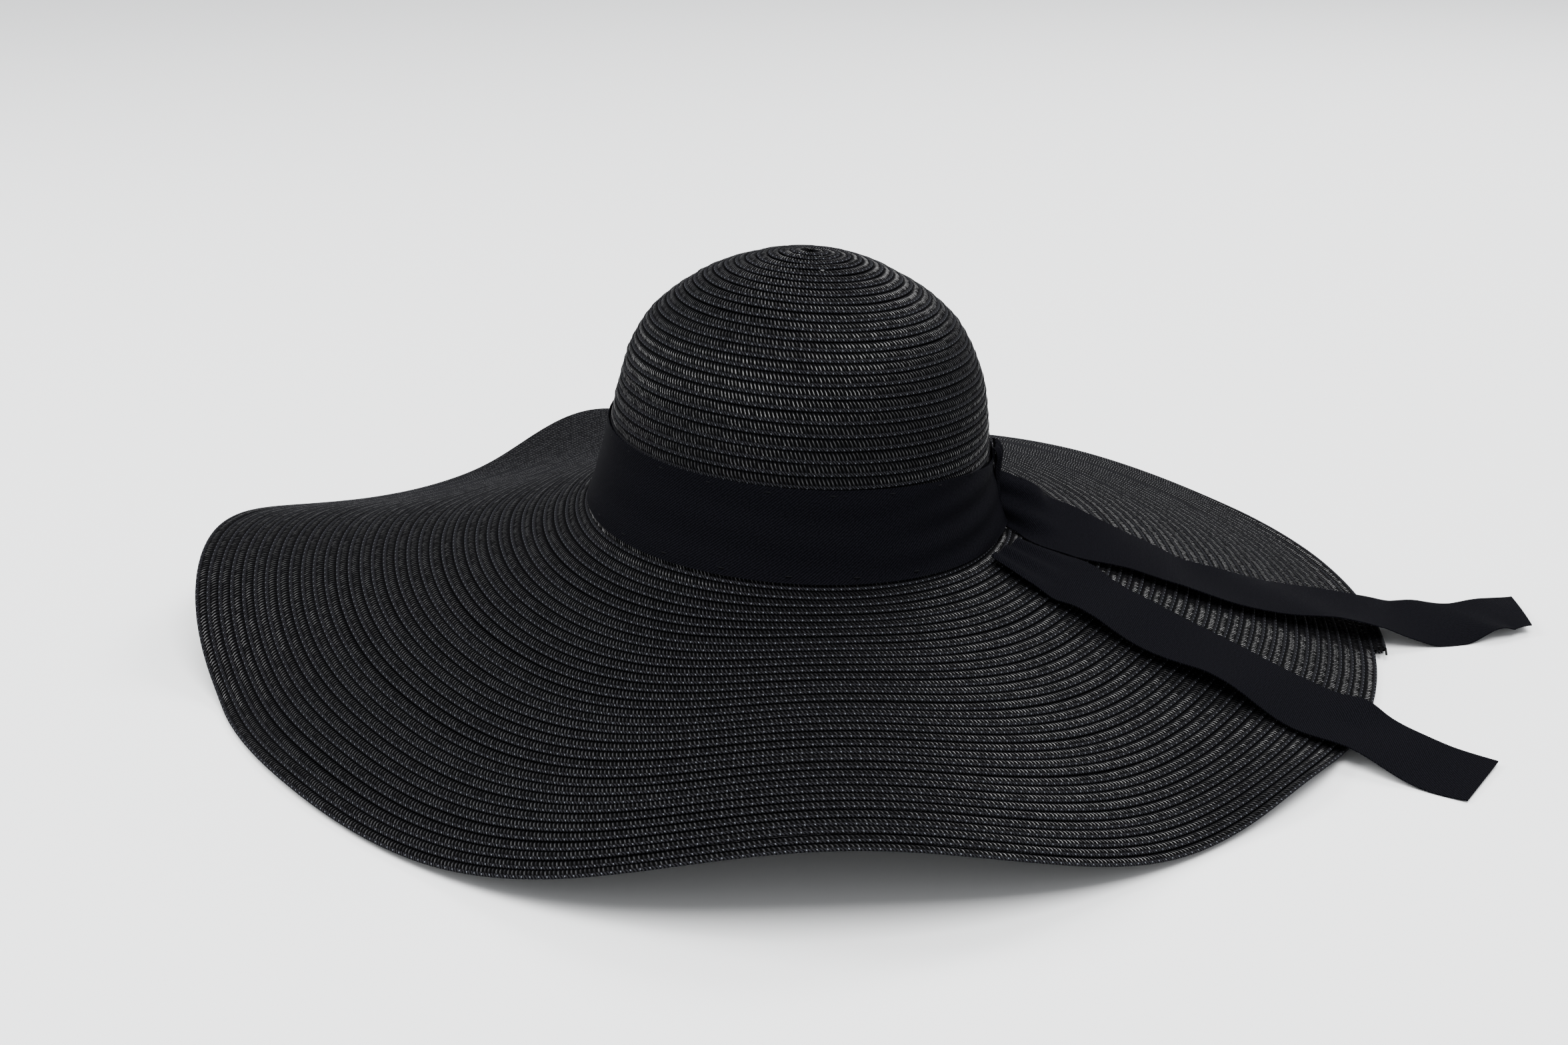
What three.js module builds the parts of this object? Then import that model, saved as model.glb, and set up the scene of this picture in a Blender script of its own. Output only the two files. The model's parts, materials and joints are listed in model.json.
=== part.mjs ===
// A wide-brimmed sun hat sewn from one spiral of flat straw braid, with a ribbon round its crown
// whose two ends hang over the brim, and a sweatband inside. It rests on its brim.
// Millimetres and degrees. +Z is up, the ribbon's ends hang toward +X, and the head's long axis
// lies along Y. A turn of 0 degrees is +X and 90 degrees is +Y.
import * as THREE from "three";

// ---------------------------------------------------------------- driving dimensions

const rowPitch = 5.08;       // from one row of braid to the next
const strawThickness = 2.2;  // two lapped layers of braid
const gap = 0.3;             // between pieces that touch
const brimRows = 34.6;
const brimWidth = brimRows * rowPitch;

const apexHeight = 172;      // the crown's tip above the table
const leanRight = 3.7;       // the crown leans toward +X ...
const leanBack = 1.2;        // ... and toward +Y
const ovalness = 0.08;       // the head is this much longer, and narrower, than a circle
const ovalFrom = 125;        // arc from the tip at which the crown has its full oval

// The crown's outline, from the tip down to the brim: mean radius, and drop below the tip.
const crownOutline = [
  [0, 0], [19.8, 2.8], [38.8, 9.2], [56.4, 18.6], [71.9, 31.4], [82.3, 48.2],
  [88, 66.5], [91, 82], [94.3, 98], [99, 115],
];

const ribbonWidth = 38;
const ribbonThickness = 0.8;
const sweatbandHeight = 34;
const sweatbandThickness = 0.9;

// The brim falls from the crown to the table and stands in soft folds. Each fold is a bell-shaped
// rise in the edge, `spread` degrees wide, that starts further out the larger `onset` is.
const folds = [
  { at: 63, rise: 8, spread: 25, onset: 2 },
  { at: 115, rise: 24, spread: 12, onset: 1.9 },
  { at: 180, rise: 41, spread: 27, onset: 1.3 },
  { at: 202, rise: -18, spread: 13, onset: 5 },
  { at: 273, rise: 35, spread: 21.5, onset: 1.1 },
  { at: 315, rise: -9, spread: 17, onset: 0.8 },
  { at: 318, rise: 17, spread: 12.5, onset: 6 },
];
const narrowing = { at: 222, share: 0.04, spread: 20 };  // where the edge tucks under a little

// The ribbon's free ends: x, y, z, roll of the ribbon about its run, and width, from the knot on.
const rearTailRoute = [
  [87, -14, 61, 80, 20], [93, -16, 58.5, 50, 27], [101, -20, 55.5, 25, 33],
  [115, -19, 50.5, 15, 37], [140, -21, 42, 6, 38], [161, -25, 34.5, 0, 38],
  [183, -25, 27.5, 0, 38], [205, -21, 21, 0, 38], [229, -15, 16, 3, 38], [250, -13, 11, 3, 38],
  [266, -12, 6, 0, 38], [282, -9, 3.5, 0, 38], [298, -4, 3, 0, 38], [312, 3, 3.5, 0, 38],
  [324, 8, 3, 0, 38],
];
const frontTailRoute = [
  [82.5, -50.5, 55, 0, 26], [88, -54, 53, 0, 30], [97, -59, 50, 0, 35], [110, -66, 45.5, 0, 37],
  [127, -77, 39, 0, 38], [144, -87, 32, 0, 38], [170, -98, 23, 0, 38], [197, -114, 13.5, 0, 38],
  [220, -132, 7, 0, 38], [240, -150, 3.5, 0, 38], [258, -162, 3, 0, 38],
];

// ---------------------------------------------------------------- the straw's surface

const turns = 60;            // facets round the hat
const turnStep = 360 / turns;
const radians = THREE.MathUtils.degToRad;

const outline = new THREE.SplineCurve(crownOutline.map(([r, drop]) => new THREE.Vector2(r, -drop)));
const crownArc = outline.getLength();
const lean = new THREE.Euler(-radians(leanBack), radians(leanRight), 0, "YXZ");

// The crown's upper face, `arc` mm from the tip.
function crownFace(arc, turn) {
  const { x: radius, y: height } = outline.getPointAt(THREE.MathUtils.clamp(arc / crownArc, 0, 1));
  const grown = Math.min(arc / ovalFrom, 1);
  const reach = radius * (1 - ovalness * grown * Math.cos(2 * radians(turn)));
  const point = new THREE.Vector3(
    reach * Math.cos(radians(turn)), reach * Math.sin(radians(turn)), height);
  return point.applyEuler(lean).add(new THREE.Vector3(0, 0, apexHeight));
}

// The larger of two heights, with the corner between them rounded.
function softMax(a, b, roundness) {
  return (a + b + Math.hypot(a - b, roundness)) / 2;
}

// The shortest way round from one turn to another.
function turnBetween(a, b) {
  return THREE.MathUtils.euclideanModulo(a - b + 180, 360) - 180;
}

function bell(turn, at, spread) {
  return Math.exp(-((turnBetween(turn, at) / spread) ** 2));
}

// The brim's height at one turn, `share` of the way from the crown to the edge.
function brimHeight(rootHeight, turn, share) {
  const fall = 1.03 + 0.21 * Math.cos(radians(turn)) + 0.14 * Math.sin(radians(turn));
  let height = rootHeight * (1 - share ** fall);
  for (const { at, rise, spread, onset } of folds) {
    height += rise * bell(turn, at, spread) * share ** onset;
  }
  return softMax(height, strawThickness + 0.3, 2);
}

// One straight run of braid across the brim, from the crown to the edge, that keeps its length
// as it rises and falls: the distance gone outwards is what the height leaves of each step.
const brimSteps = 80;
const brimRuns = new Map();
function brimRun(turn) {
  if (brimRuns.has(turn)) return brimRuns.get(turn);
  const root = crownFace(crownArc, turn);
  const width = brimWidth * (1 + 0.02 * Math.sin(2 * radians(turn))
    - narrowing.share * bell(turn, narrowing.at, narrowing.spread));
  const step = width / brimSteps;
  const reaches = [0];
  const heights = [root.z];
  for (let i = 1; i <= brimSteps; i++) {
    heights.push(brimHeight(root.z, turn, i / brimSteps));
    const drop = Math.min(Math.abs(heights[i] - heights[i - 1]), 0.98 * step);
    reaches.push(reaches[i - 1] + Math.sqrt(step ** 2 - drop ** 2));
  }
  brimRuns.set(turn, { root, reaches, heights });
  return brimRuns.get(turn);
}

// The brim's upper face, `arc` mm of braid out from the crown.
function brimFace(arc, turn) {
  const { root, reaches, heights } = brimRun(turn);
  const place = THREE.MathUtils.clamp(arc / brimWidth, 0, 1) * brimSteps;
  const i = Math.min(Math.floor(place), brimSteps - 1);
  const reach = THREE.MathUtils.lerp(reaches[i], reaches[i + 1], place - i);
  const height = THREE.MathUtils.lerp(heights[i], heights[i + 1], place - i);
  return new THREE.Vector3(
    root.x + reach * Math.cos(radians(turn)), root.y + reach * Math.sin(radians(turn)), height);
}

// A point `out` mm off a face, along the face's outward normal.
function offFace(face, arc, turn, out, lastArc) {
  const before = Math.max(arc - 1, 0.2);
  const after = Math.min(arc + 1, lastArc);
  const along = face(after, turn).sub(face(before, turn));
  const around = face(arc, turn + 2).sub(face(arc, turn - 2));
  const normal = along.cross(around).normalize();
  return face(arc, turn).addScaledVector(normal, out);
}

const crownPoint = (arc, turn, out) => offFace(crownFace, arc, turn, out, crownArc);
const brimPoint = (arc, turn, out) => offFace(brimFace, arc, turn, out, brimWidth);

// The height of the brim's upper face over a place on the table, or 0 beyond its edge. The braid's
// straight runs all start about one head radius out from nearly the same point.
const headRadius = crownOutline[crownOutline.length - 1][0];
function brimHeightOver(x, y) {
  const place = new THREE.Vector3(x, y, 0);
  let turn = THREE.MathUtils.radToDeg(Math.atan2(y, x));
  let run = brimRun(turn);
  for (let i = 0; i < 4; i++) {
    const outward = new THREE.Vector3(Math.cos(radians(turn)), Math.sin(radians(turn)), 0);
    const hub = run.root.clone().addScaledVector(outward, -headRadius);
    const fromHub = place.clone().sub(hub);
    turn = Math.round(4 * THREE.MathUtils.radToDeg(Math.atan2(fromHub.y, fromHub.x))) / 4;
    run = brimRun(turn);
  }
  const reach = Math.hypot(x - run.root.x, y - run.root.y);
  const inside = Math.hypot(x, y) < Math.hypot(run.root.x, run.root.y);
  const i = inside ? 0 : run.reaches.findIndex((r) => r >= reach);
  return i < 0 ? 0 : run.heights[i];
}

// ---------------------------------------------------------------- solids

// A closed solid through a row of sections with equally many corners. Corner c of a section lies
// across the piece's thickness from corner (last - c). A ring joins its last section to its first.
function loft(sections, isRing) {
  const corners = sections[0].length;
  const count = sections.length;
  const faces = [];
  const quad = (a, b, c, d) => faces.push(a, b, c, a, c, d);
  for (let s = 0; s < (isRing ? count : count - 1); s++) {
    const here = s * corners;
    const next = ((s + 1) % count) * corners;
    for (let c = 0; c < corners; c++) {
      const d = (c + 1) % corners;
      quad(here + c, next + c, next + d, here + d);
    }
  }
  const end = (count - 1) * corners;
  for (let c = 0; !isRing && c < corners / 2 - 1; c++) {
    const d = corners - 1 - c;
    quad(c, c + 1, d - 1, d);
    quad(end + d, end + d - 1, end + c + 1, end + c);
  }
  const points = sections.flat();
  let volume = 0;
  for (let f = 0; f < faces.length; f += 3) {
    const [a, b, c] = [points[faces[f]], points[faces[f + 1]], points[faces[f + 2]]];
    volume += a.dot(b.clone().cross(c));
  }
  const geometry = new THREE.BufferGeometry().setFromPoints(points);
  geometry.setIndex(volume > 0 ? faces : faces.reverse());
  return geometry;
}

// A band that follows a face: `arcs` run across it, and it fills the space from `low` to `high`
// mm off the face. It goes right round, or from one turn to another in whole facets.
function band(point, arcs, low, high, fromTurn = 0, toTurn = 360) {
  const isRing = toTurn - fromTurn === 360;
  const steps = Math.round((toTurn - fromTurn) / turnStep);
  const sections = [];
  for (let s = 0; s < (isRing ? steps : steps + 1); s++) {
    const turn = THREE.MathUtils.lerp(fromTurn, toTurn, s / steps);
    const upper = arcs.map((arc) => point(arc, turn, high));
    const lower = arcs.map((arc) => point(arc, turn, low)).reverse();
    sections.push([...upper, ...lower]);
  }
  return loft(sections, isRing);
}

// Evenly spaced arcs across a band, which ends half a gap short of both its neighbours.
function across(from, to, steps) {
  const arcs = [];
  for (let i = 0; i <= steps; i++) {
    arcs.push(THREE.MathUtils.lerp(from + gap / 2, to - gap / 2, i / steps));
  }
  return arcs;
}

// A flat ribbon along part of a route of [x, y, z, roll, width] that never dips into the brim.
const clearance = 1.2;       // over the brim
const tableClearance = 1;
function ribbonStrip(centre, shape, from, to, steps) {
  const up = new THREE.Vector3(0, 0, 1);
  const sections = [];
  for (let i = 0; i <= steps; i++) {
    const share = THREE.MathUtils.lerp(from, to, i / steps);
    const run = centre.getTangent(share).setZ(0).normalize();
    const { x: roll, y: width } = shape.getPoint(share);
    const side = up.clone().cross(run).applyAxisAngle(run, radians(roll));
    const normal = run.clone().cross(side).normalize();
    const corners = [];
    for (const [edge, face] of [[1, 1], [-1, 1], [-1, 0], [1, 0]]) {
      const corner = centre.getPoint(share).addScaledVector(side, edge * width / 2);
      corner.z = Math.max(corner.z, brimHeightOver(corner.x, corner.y) + clearance, tableClearance);
      corners.push(corner.addScaledVector(normal, face * ribbonThickness));
    }
    sections.push(corners);
  }
  return loft(sections, false);
}

// ---------------------------------------------------------------- materials and nodes

const straw = new THREE.MeshStandardMaterial({ color: 0x1c1d20, roughness: 0.55 });
const ribbon = new THREE.MeshStandardMaterial({ color: 0x14151a, roughness: 0.8 });
const cotton = new THREE.MeshStandardMaterial({ color: 0x17171a, roughness: 0.9 });
const thread = new THREE.MeshStandardMaterial({ color: 0x101012, roughness: 0.6 });
const label = new THREE.MeshStandardMaterial({ color: 0xe6e4df, roughness: 0.7 });

const hat = new THREE.Group();
function add(name, geometry, material) {
  const node = new THREE.Mesh(geometry, material);
  node.name = name;
  hat.add(node);
  return node;
}

// The straw, in the sections that a hatter works through: tip, top, shoulder, side, then brim.
const tipHole = 1;           // the first turn of braid closes round a pinhole
const bandTopArc = crownArc - ribbonWidth - 1.5;
const crownSections = [
  ["crown_tip_coil", tipHole, 2 * rowPitch, 2],
  ["crown_top_braid", 2 * rowPitch, 12 * rowPitch, 5],
  ["crown_shoulder_braid", 12 * rowPitch, 19 * rowPitch, 4],
  ["crown_side_braid", 19 * rowPitch, bandTopArc, 3],
  ["crown_band_seat_braid", bandTopArc, crownArc, 3],
];
for (const [name, from, to, steps] of crownSections) {
  add(name, band(crownPoint, across(from, to, steps), -strawThickness, 0), straw);
}
const brimSections = [
  ["brim_inner_braid", 0, 11, 4],
  ["brim_middle_braid", 11, 23, 4],
  ["brim_outer_braid", 23, 33.6, 4],
];
for (const [name, from, to, steps] of brimSections) {
  const arcs = across(from * rowPitch, to * rowPitch, steps);
  add(name, band(brimPoint, arcs, -strawThickness, 0), straw);
}
const edgeArcs = across(33.6 * rowPitch, brimWidth, 1);
add("brim_edge_row", band(brimPoint, edgeArcs, -strawThickness, 0.6), straw);

// The braid's last end, lapped over the edge row and cut off.
const lapArcs = [brimWidth - 1.3 * rowPitch, brimWidth - 0.2];
add("braid_end_lap", band(brimPoint, lapArcs, 0.6 + gap, 2.4, -12, 0), straw);

// The ribbon round the crown, and the knot that gathers its two ends.
const knotFrom = -12;
const knotTo = 0;
const bandArcs = across(bandTopArc, crownArc - 2, 3);
add("ribbon_band", band(crownPoint, bandArcs, gap, gap + ribbonThickness), ribbon);
const knotLow = gap * 2 + ribbonThickness;
const knotArcs = across(bandTopArc - 1, crownArc - 14, 3);
add("ribbon_knot", band(crownPoint, knotArcs, knotLow, knotLow + 5, knotFrom, knotTo), ribbon);

// A thread runs right round the ribbon near each edge and holds it to the straw.
const threadHeight = 1;
const threadThickness = 0.5;
function threadRing(name, arc, out, fromTurn, toTurn) {
  const arcs = [arc, arc + threadHeight];
  add(name, band(crownPoint, arcs, out, out + threadThickness, fromTurn, toTurn), thread);
}
threadRing("ribbon_upper_thread", bandTopArc + 2, knotLow, knotTo + turnStep, knotFrom + 354);
threadRing("ribbon_lower_thread", crownArc - 5, knotLow, knotTo + 12, knotFrom + 324);

// Each end of the ribbon is fast at the knot, and lifts off the brim about a fold at one point of
// its route, where the ribbon is left open by foldGap.
const foldGap = 1;
const tails = [
  { name: "ribbon_tail_rear", route: rearTailRoute, foldPoint: 3, rootSteps: 6, steps: 22 },
  { name: "ribbon_tail_front", route: frontTailRoute, foldPoint: 2, rootSteps: 4, steps: 16 },
];
for (const { name, route, foldPoint, rootSteps, steps } of tails) {
  const centre = new THREE.CatmullRomCurve3(route.map(([x, y, z]) => new THREE.Vector3(x, y, z)));
  const shape = new THREE.CatmullRomCurve3(
    route.map(([, , , roll, width]) => new THREE.Vector3(roll, width, 0)));
  const fold = foldPoint / (route.length - 1);
  const near = 0.01;
  const speed = centre.getPoint(fold + near).distanceTo(centre.getPoint(fold)) / near;
  const slack = foldGap / 2 / speed;
  add(`${name}_root`, ribbonStrip(centre, shape, 0, fold - slack, rootSteps), ribbon);
  add(name, ribbonStrip(centre, shape, fold + slack, 1, steps), ribbon);
}

// The sweatband stands inside the crown, sewn round its lower edge, with labels at the back.
const insideStraw = -strawThickness - gap;
const insideBand = insideStraw - sweatbandThickness - gap;
const sweatTopArc = crownArc - 2 - sweatbandHeight;
const sweatArcs = across(sweatTopArc, crownArc - 2, 2);
add("sweatband", band(crownPoint, sweatArcs, insideStraw - sweatbandThickness, insideStraw), cotton);
const joinArcs = across(sweatTopArc + 1, crownArc - 7, 2);
add("sweatband_join_tab", band(crownPoint, joinArcs, insideBand - 0.8, insideBand, 84, 96), cotton);

threadRing("sweatband_hem_thread", crownArc - 5, insideBand - threadThickness);

const sizeLabelArcs = across(sweatTopArc + 8, crownArc - 10, 1);
add("size_label", band(crownPoint, sizeLabelArcs, insideBand - 0.4, insideBand, 102, 114), label);

// The care label hangs plumb from a bar of stitches near the sweatband's upper edge.
const careTurn = 72;
const careWidth = 22;
const careLength = 40;
const careThickness = 0.5;
const careBarArcs = [sweatTopArc + 1.5, sweatTopArc + 3.5];
add("care_label_seam", band(crownPoint, careBarArcs, insideBand - 0.8, insideBand,
  careTurn - turnStep, careTurn + turnStep), thread);
const careTop = crownPoint(sweatTopArc + 4, careTurn, insideBand - 3);
const careLabel = add("care_label", new THREE.BoxGeometry(careThickness, careWidth, careLength), label);
careLabel.geometry.translate(0, 0, -careLength / 2);
careLabel.position.copy(careTop);
careLabel.rotation.z = radians(careTurn);

// The hat's frame has its origin at the middle of the space it takes, on the table.
const bounds = new THREE.Box3().setFromObject(hat);
const middle = bounds.getCenter(new THREE.Vector3());
hat.position.set(-middle.x, -middle.y, -bounds.min.z);

export default hat;
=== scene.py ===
"""A wide-brimmed straw sun hat: sewn braid, a ribbon with loose ends, and a sweatband inside.

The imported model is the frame. Each operator makes one piece, or one group of like pieces, over it.
Shapes are worked out in millimetres in the hat's own axes: the crown's tip stands over the middle,
+X is toward the ribbon's loose ends, and a turn of 0 degrees is +X and 90 degrees is +Y.
"""
import json
import math
from functools import partial

import bpy
import numpy as np
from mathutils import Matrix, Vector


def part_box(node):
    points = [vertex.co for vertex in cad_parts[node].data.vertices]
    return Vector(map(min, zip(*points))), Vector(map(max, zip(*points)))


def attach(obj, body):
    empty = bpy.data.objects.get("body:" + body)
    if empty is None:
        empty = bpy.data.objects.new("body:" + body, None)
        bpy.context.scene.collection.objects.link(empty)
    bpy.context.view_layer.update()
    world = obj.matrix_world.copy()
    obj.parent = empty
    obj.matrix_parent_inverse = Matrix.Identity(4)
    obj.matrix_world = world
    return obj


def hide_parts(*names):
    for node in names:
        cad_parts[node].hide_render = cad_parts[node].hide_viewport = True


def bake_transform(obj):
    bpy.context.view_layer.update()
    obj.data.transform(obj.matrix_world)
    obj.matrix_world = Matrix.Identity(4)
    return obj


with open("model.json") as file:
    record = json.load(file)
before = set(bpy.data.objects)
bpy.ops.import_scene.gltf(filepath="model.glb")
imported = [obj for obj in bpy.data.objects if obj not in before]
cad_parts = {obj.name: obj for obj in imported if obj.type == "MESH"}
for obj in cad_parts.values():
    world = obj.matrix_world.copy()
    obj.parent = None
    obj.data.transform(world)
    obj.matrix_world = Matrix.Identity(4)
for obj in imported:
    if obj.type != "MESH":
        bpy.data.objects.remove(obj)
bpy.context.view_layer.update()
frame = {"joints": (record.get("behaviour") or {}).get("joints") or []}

bl_info = {
    "name": "Straw Sun Hat",
    "version": (1, 0, 0),
    "blender": (4, 5, 0),
    "location": "View3D > Sidebar > Sun Hat",
    "description": "Makes a straw sun hat of sewn braid with a ribbon and a sweatband",
    "category": "Add Mesh",
}

MM = 0.001

# ------------------------------------------------------------------ the hat's driving dimensions

ROW_PITCH = 5.08
BRIM_ROWS = 34.6
BRIM_WIDTH = BRIM_ROWS * ROW_PITCH
STRAW_THICKNESS = 2.2
APEX_HEIGHT = 172.0
LEAN_RIGHT = 3.7
LEAN_BACK = 1.2
OVALNESS = 0.08
OVAL_FROM = 125.0
RIBBON_WIDTH = 38.0
SWEATBAND_HEIGHT = 34.0
SWEATBAND_HEM = 2.0     # from the crown's foot up to the sweatband's sewn edge
HEAD_RADIUS = 90.0      # mean, of the crown at the ribbon
BAND_RADIUS = 92.0      # mean, of the ribbon itself
EDGE_ROW_FROM = 33.6    # the brim row where the edge row starts
SPARE_STEPS = 12        # half-millimetre steps the surface is carried past the edge

STRAND = 1.7            # along the braid, from one strand to the next
STRAND_RELIEF = 0.14    # how far a strand's crest stands over the grooves' mean
STRAND_SLANT = 0.45     # how far a strand runs along the braid for each millimetre across it
THREAD_PITCH = 3.4      # from one stitch of the thread in the cord to the next
CORD_TWIST = 1.3        # from one turn of the cord to the next
COIL_SPAN = 7.0         # the arc over which the braid widens from the tip
END_TURN = -8.0         # where the braid's last row is cut off
WEAVE_DEPTH = 0.0002    # metres that a bump of 1 stands for on woven cloth

# The crown's outline from the tip to the brim: mean radius and drop below the tip.
CROWN_OUTLINE = [
    (0, 0), (19.8, 2.8), (38.8, 9.2), (56.4, 18.6), (71.9, 31.4), (82.3, 48.2),
    (88, 66.5), (91, 82), (94.3, 98), (99, 115),
]

# Folds that stand in the brim: turn, rise of the edge, spread in degrees, and onset.
FOLDS = [
    (63, 8, 25, 2), (115, 24, 12, 1.9), (180, 41, 27, 1.3), (202, -18, 13, 5),
    (273, 35, 21.5, 1.1), (315, -9, 17, 0.8), (318, 17, 12.5, 6),
]
NARROWING = (222, 0.04, 20)        # turn, share of the width lost, and spread
BRIM_FALL = (1.03, 0.21, 0.14)     # how late the brim falls: mean, more at +X, more at +Y
BRIM_SWELL = 0.02                  # share of the width gained and lost twice round the brim

# The ribbon's free ends, from the knot on: x, y, z, roll about the run, and width.
REAR_TAIL = [
    (82.6, -14, 62, 85, 27.5), (90, -15.5, 59, 60, 29), (101, -19, 55.5, 30, 33),
    (115, -19, 50.5, 15, 37), (140, -21, 42, 6, 38), (161, -25, 34.5, 0, 38),
    (183, -25, 27.5, 0, 38), (205, -21, 21, 0, 38), (229, -15, 16, 3, 38),
    (250, -13, 11, 3, 38), (266, -12, 6, 0, 38), (282, -9, 3.5, 0, 38),
    (298, -4, 3, 0, 38), (312, 3, 3.5, 0, 38), (324, 8, 3, 0, 38),
]
FRONT_TAIL = [
    (82.5, -50.5, 55, 0, 26), (88, -54, 53, 0, 30), (97, -59, 50, 0, 35),
    (110, -66, 45.5, 0, 37), (127, -77, 39, 0, 38), (144, -87, 32, 0, 38),
    (170, -98, 23, 0, 38), (197, -114, 13.5, 0, 38), (220, -132, 7, 0, 38),
    (240, -150, 3.5, 0, 38), (258, -162, 3, 0, 38),
]

# ------------------------------------------------------------------ numbers


def spline(points, at):
    """Catmull-Rom through points, at positions counted in points: a cubic between each two
    neighbours whose slope at a point is half the step between the points on either side."""
    p = np.asarray(points, float)
    at = np.clip(np.asarray(at, float), 0, len(p) - 1)
    i = np.minimum(at.astype(int), len(p) - 2)
    t = (at - i)[:, None]
    a, b = p[np.maximum(i - 1, 0)], p[i]
    c, d = p[i + 1], p[np.minimum(i + 2, len(p) - 1)]
    m, n = (c - a) / 2, (d - b) / 2
    return (2 * t**3 - 3 * t**2 + 1) * b + (t**3 - 2 * t**2 + t) * m + (3 * t**2 - 2 * t**3) * c + (
        t**3 - t**2) * n


def smooth_step(x, low, high):
    """0 below low, 1 above high, and a smooth S between."""
    t = np.clip((x - low) / (high - low), 0, 1)
    return t * t * (3 - 2 * t)


def bell(turn, at, spread):
    """A bell of height 1 round one turn, spread degrees wide."""
    apart = (turn - at + 180) % 360 - 180
    return np.exp(-((apart / spread) ** 2))


def bell_run(s, at, spread):
    """A bell of height 1 at one place along a run, spread millimetres wide."""
    return np.exp(-(((s - at) / spread) ** 2))


def soft_max(a, b, roundness):
    """The larger of two numbers, with the corner between them rounded."""
    return (a + b + np.hypot(a - b, roundness)) / 2


def wander(u, v, seed):
    """A slow, smooth unevenness between about -1 and 1: a sum of sines of both numbers."""
    total = 0
    for k in range(1, 5):
        phase = seed * 1.7 + k * 2.4
        total = total + np.sin(k * u + phase) * np.cos(k * 0.8 * v - 1.3 * phase) / k
    return total / 1.6


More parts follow.
